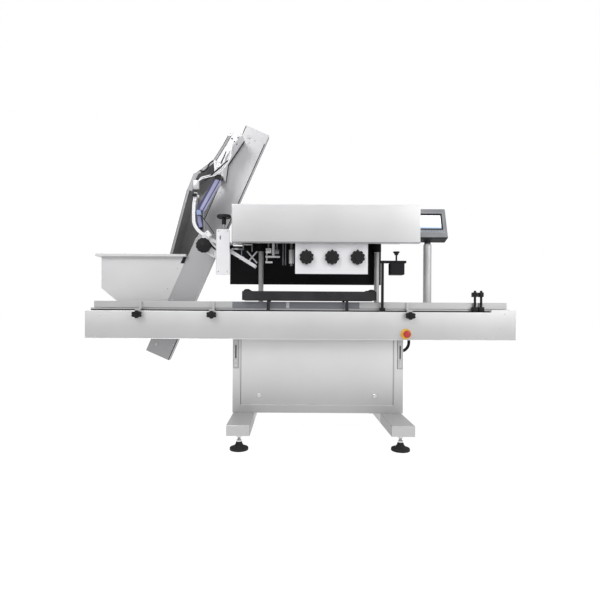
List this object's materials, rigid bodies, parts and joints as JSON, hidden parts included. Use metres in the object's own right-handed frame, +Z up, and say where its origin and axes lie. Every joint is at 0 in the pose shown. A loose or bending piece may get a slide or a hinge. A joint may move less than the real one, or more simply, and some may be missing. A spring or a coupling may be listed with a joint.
{
  "type": "bottle capping machine",
  "caption": "In-line bottle capping machine: slat conveyor through a hooded spindle head, sloping cap elevator with hopper and chute, touch panel on a post",
  "frame": {"origin": "centre of the bounding box on the floor plane", "axes": "+X along the conveyor, the way bottles travel, to the right of an operator who faces +Y; +Y away from the operator; +Z up"},
  "size_m": [2.425, 1.03, 1.8523],
  "materials": {
    "stainless": "satin",
    "stainless_pale": "satin",
    "aluminium": "satin",
    "chrome": "polished",
    "black_plastic": "satin",
    "black_paint": "satin",
    "grey_plastic": "satin",
    "blue_film": "gloss",
    "rubber": "matte",
    "belt_white": "matte",
    "signal_red": "gloss",
    "signal_yellow": "gloss"
  },
  "bodies": {
    "machine": {"cabinet": "stainless", "foot_beam_left": "stainless", "foot_beam_right": "stainless", "control_backplate": "grey_plastic", "lift_actuator": "aluminium", "conveyor_front_skirt": "stainless", "conveyor_rear_skirt": "stainless", "conveyor_bed": "aluminium", "conveyor_chain": "stainless", "conveyor_gearmotor": "aluminium", "guide_rail_front": "stainless", "guide_rail_rear": "stainless", "hmi_post": "chrome", "stop_collar": "signal_yellow", "cable_conduit": "black_plastic", "gripper_front": "rubber", "gripper_rear": "rubber", "sensor_stand": "black_paint"},
    "door": {"cabinet_door": "stainless"},
    "door_lock_left": {"door_lock_left": "chrome"},
    "door_lock_right": {"door_lock_right": "chrome"},
    "drive_shaft": {"conveyor_drive_shaft": "black_plastic"},
    "idler_shaft": {"conveyor_idler_shaft": "black_plastic"},
    "stop_button": {"stop_button": "signal_red"},
    "touch_panel": {"hmi_housing": "grey_plastic"},
    "stand_wing_knob": {"stand_wing_knob": "black_plastic"},
    "head": {"head_frame": "black_paint", "lift_columns": "chrome", "hood": "stainless", "knob_plate": "stainless_pale", "head_gearmotor": "aluminium", "elevator_casing": "stainless", "elevator_back_cover": "stainless", "elevator_front_cover": "stainless", "elevator_belt": "belt_white", "hopper": "stainless", "chute_head": "stainless_pale", "chute_post": "stainless_pale"},
    "top_roller": {"elevator_top_roller": "stainless"},
    "bottom_roller": {"elevator_bottom_roller": "stainless"},
    "chute": {"chute_channel": "stainless_pale", "chute_strip": "blue_film"},
    "chute_handwheel": {"chute_handwheel": "black_plastic"},
    "chute_knob": {"chute_knob": "black_plastic"},
    "foot_front_left": {"levelling_foot_front_left": "black_plastic"},
    "foot_front_right": {"levelling_foot_front_right": "black_plastic"},
    "foot_rear_left": {"levelling_foot_rear_left": "black_plastic"},
    "foot_rear_right": {"levelling_foot_rear_right": "black_plastic"},
    "guide_knob_1": {"guide_knob_1": "black_plastic"},
    "spindle_knob_1": {"spindle_knob_1": "black_plastic"},
    "spindle_front_1": {"capping_spindle_front_1": "rubber"},
    "spindle_rear_1": {"capping_spindle_rear_1": "rubber"},
    "guide_knob_2": {"guide_knob_2": "black_plastic"},
    "spindle_knob_2": {"spindle_knob_2": "black_plastic"},
    "spindle_front_2": {"capping_spindle_front_2": "rubber"},
    "spindle_rear_2": {"capping_spindle_rear_2": "rubber"},
    "guide_knob_3": {"guide_knob_3": "black_plastic"},
    "spindle_knob_3": {"spindle_knob_3": "black_plastic"},
    "spindle_front_3": {"capping_spindle_front_3": "rubber"},
    "spindle_rear_3": {"capping_spindle_rear_3": "rubber"}
  },
  "joints": [
    {"name": "door_swing", "type": "hinge", "parent": "machine", "child": "door", "pos_m": [0.1125, -0.225, 0.5642], "axis": [-1, 0, 0], "range_deg": [0, 70]},
    {"name": "door_lock_left_turn", "type": "hinge", "parent": "door", "child": "door_lock_left", "pos_m": [-0.2225, -0.225, 0.2433], "axis": [0, -1, 0], "range_deg": [0, 90]},
    {"name": "door_lock_right_turn", "type": "hinge", "parent": "door", "child": "door_lock_right", "pos_m": [0.4475, -0.225, 0.2433], "axis": [0, -1, 0], "range_deg": [0, 90]},
    {"name": "foot_front_left_screw", "type": "slide", "parent": "machine", "child": "foot_front_left", "axis": [0, 0, 1], "range_m": [-0.015, 0.015]},
    {"name": "foot_front_right_screw", "type": "slide", "parent": "machine", "child": "foot_front_right", "axis": [0, 0, 1], "range_m": [-0.015, 0.015]},
    {"name": "foot_rear_left_screw", "type": "slide", "parent": "machine", "child": "foot_rear_left", "axis": [0, 0, 1], "range_m": [-0.015, 0.015]},
    {"name": "foot_rear_right_screw", "type": "slide", "parent": "machine", "child": "foot_rear_right", "axis": [0, 0, 1], "range_m": [-0.015, 0.015]},
    {"name": "drive_shaft_turn", "type": "hinge", "parent": "machine", "child": "drive_shaft", "pos_m": [1.1285, -0.22, 0.669], "axis": [0, 1, 0], "continuous": true},
    {"name": "idler_shaft_turn", "type": "hinge", "parent": "machine", "child": "idler_shaft", "pos_m": [-1.1035, -0.22, 0.669], "axis": [0, 1, 0], "continuous": true},
    {"name": "stop_button_press", "type": "slide", "parent": "machine", "child": "stop_button", "axis": [0, 1, 0], "range_m": [0, 0.004], "stiffness_N_per_m": 1500},
    {"name": "touch_panel_swivel", "type": "hinge", "parent": "machine", "child": "touch_panel", "pos_m": [0.7845, -0.095, 1.142], "axis": [0, 0, 1], "range_deg": [-90, 15]},
    {"name": "stand_wing_knob_turn", "type": "hinge", "parent": "machine", "child": "stand_wing_knob", "pos_m": [0.5485, -0.3, 1.045], "axis": [0, 0, 1], "range_deg": [0, 360]},
    {"name": "head_lift", "type": "slide", "parent": "machine", "child": "head", "axis": [0, 0, 1], "range_m": [-0.03, 0.12]},
    {"name": "top_roller_turn", "type": "hinge", "parent": "head", "child": "top_roller", "pos_m": [-0.29951, 0, 1.77931], "axis": [0, 1, 0], "continuous": true},
    {"name": "bottom_roller_turn", "type": "hinge", "parent": "head", "child": "bottom_roller", "pos_m": [-0.85018, 0, 0.52485], "axis": [0, 1, 0], "continuous": true},
    {"name": "chute_slide", "type": "slide", "parent": "head", "child": "chute", "axis": [0, 0, 1], "range_m": [-0.015, 0.01]},
    {"name": "chute_handwheel_turn", "type": "hinge", "parent": "head", "child": "chute_handwheel", "pos_m": [-0.4235, -0.266, 1.25], "axis": [0, 0, 1], "range_deg": [-1500, 1100]},
    {"name": "chute_knob_turn", "type": "hinge", "parent": "chute", "child": "chute_knob", "pos_m": [-0.5375, -0.2523, 1.099], "axis": [0, 1, 0], "range_deg": [0, 360]},
    {"name": "guide_knob_1_turn", "type": "hinge", "parent": "machine", "child": "guide_knob_1", "pos_m": [-0.8905, -0.3246, 0.7065], "axis": [0, 1, 0], "range_deg": [0, 360]},
    {"name": "guide_knob_2_turn", "type": "hinge", "parent": "machine", "child": "guide_knob_2", "pos_m": [-0.4785, -0.3246, 0.7065], "axis": [0, 1, 0], "range_deg": [0, 360]},
    {"name": "guide_knob_3_turn", "type": "hinge", "parent": "machine", "child": "guide_knob_3", "pos_m": [0.6185, -0.3246, 0.7065], "axis": [0, 1, 0], "range_deg": [0, 360]},
    {"name": "spindle_knob_1_turn", "type": "hinge", "parent": "head", "child": "spindle_knob_1", "pos_m": [0.0435, -0.3403, 1.025], "axis": [0, 1, 0], "range_deg": [-180, 180]},
    {"name": "spindle_front_1_turn", "type": "hinge", "parent": "head", "child": "spindle_front_1", "pos_m": [0.0435, -0.267, 0.978], "axis": [0, 0, 1], "continuous": true},
    {"name": "spindle_rear_1_turn", "type": "hinge", "parent": "head", "child": "spindle_rear_1", "pos_m": [0.0435, -0.173, 0.978], "axis": [0, 0, 1], "continuous": true},
    {"name": "spindle_knob_2_turn", "type": "hinge", "parent": "head", "child": "spindle_knob_2", "pos_m": [0.1835, -0.3403, 1.025], "axis": [0, 1, 0], "range_deg": [-180, 180]},
    {"name": "spindle_front_2_turn", "type": "hinge", "parent": "head", "child": "spindle_front_2", "pos_m": [0.1835, -0.267, 0.978], "axis": [0, 0, 1], "continuous": true},
    {"name": "spindle_rear_2_turn", "type": "hinge", "parent": "head", "child": "spindle_rear_2", "pos_m": [0.1835, -0.173, 0.978], "axis": [0, 0, 1], "continuous": true},
    {"name": "spindle_knob_3_turn", "type": "hinge", "parent": "head", "child": "spindle_knob_3", "pos_m": [0.3235, -0.3403, 1.025], "axis": [0, 1, 0], "range_deg": [-180, 180]},
    {"name": "spindle_front_3_turn", "type": "hinge", "parent": "head", "child": "spindle_front_3", "pos_m": [0.3235, -0.267, 0.978], "axis": [0, 0, 1], "continuous": true},
    {"name": "spindle_rear_3_turn", "type": "hinge", "parent": "head", "child": "spindle_rear_3", "pos_m": [0.3235, -0.173, 0.978], "axis": [0, 0, 1], "continuous": true}
  ],
  "couplings": [
    {"joint": "idler_shaft_turn", "follows": "drive_shaft_turn", "ratio": 1},
    {"joint": "bottom_roller_turn", "follows": "top_roller_turn", "ratio": 1},
    {"joint": "chute_handwheel_turn", "follows": "chute_slide", "rad_per_m": 1570.8},
    {"joint": "spindle_rear_1_turn", "follows": "spindle_front_1_turn", "ratio": -1},
    {"joint": "spindle_front_2_turn", "follows": "spindle_front_1_turn", "ratio": 1},
    {"joint": "spindle_rear_2_turn", "follows": "spindle_front_1_turn", "ratio": -1},
    {"joint": "spindle_front_3_turn", "follows": "spindle_front_1_turn", "ratio": 1},
    {"joint": "spindle_rear_3_turn", "follows": "spindle_front_1_turn", "ratio": -1}
  ]
}
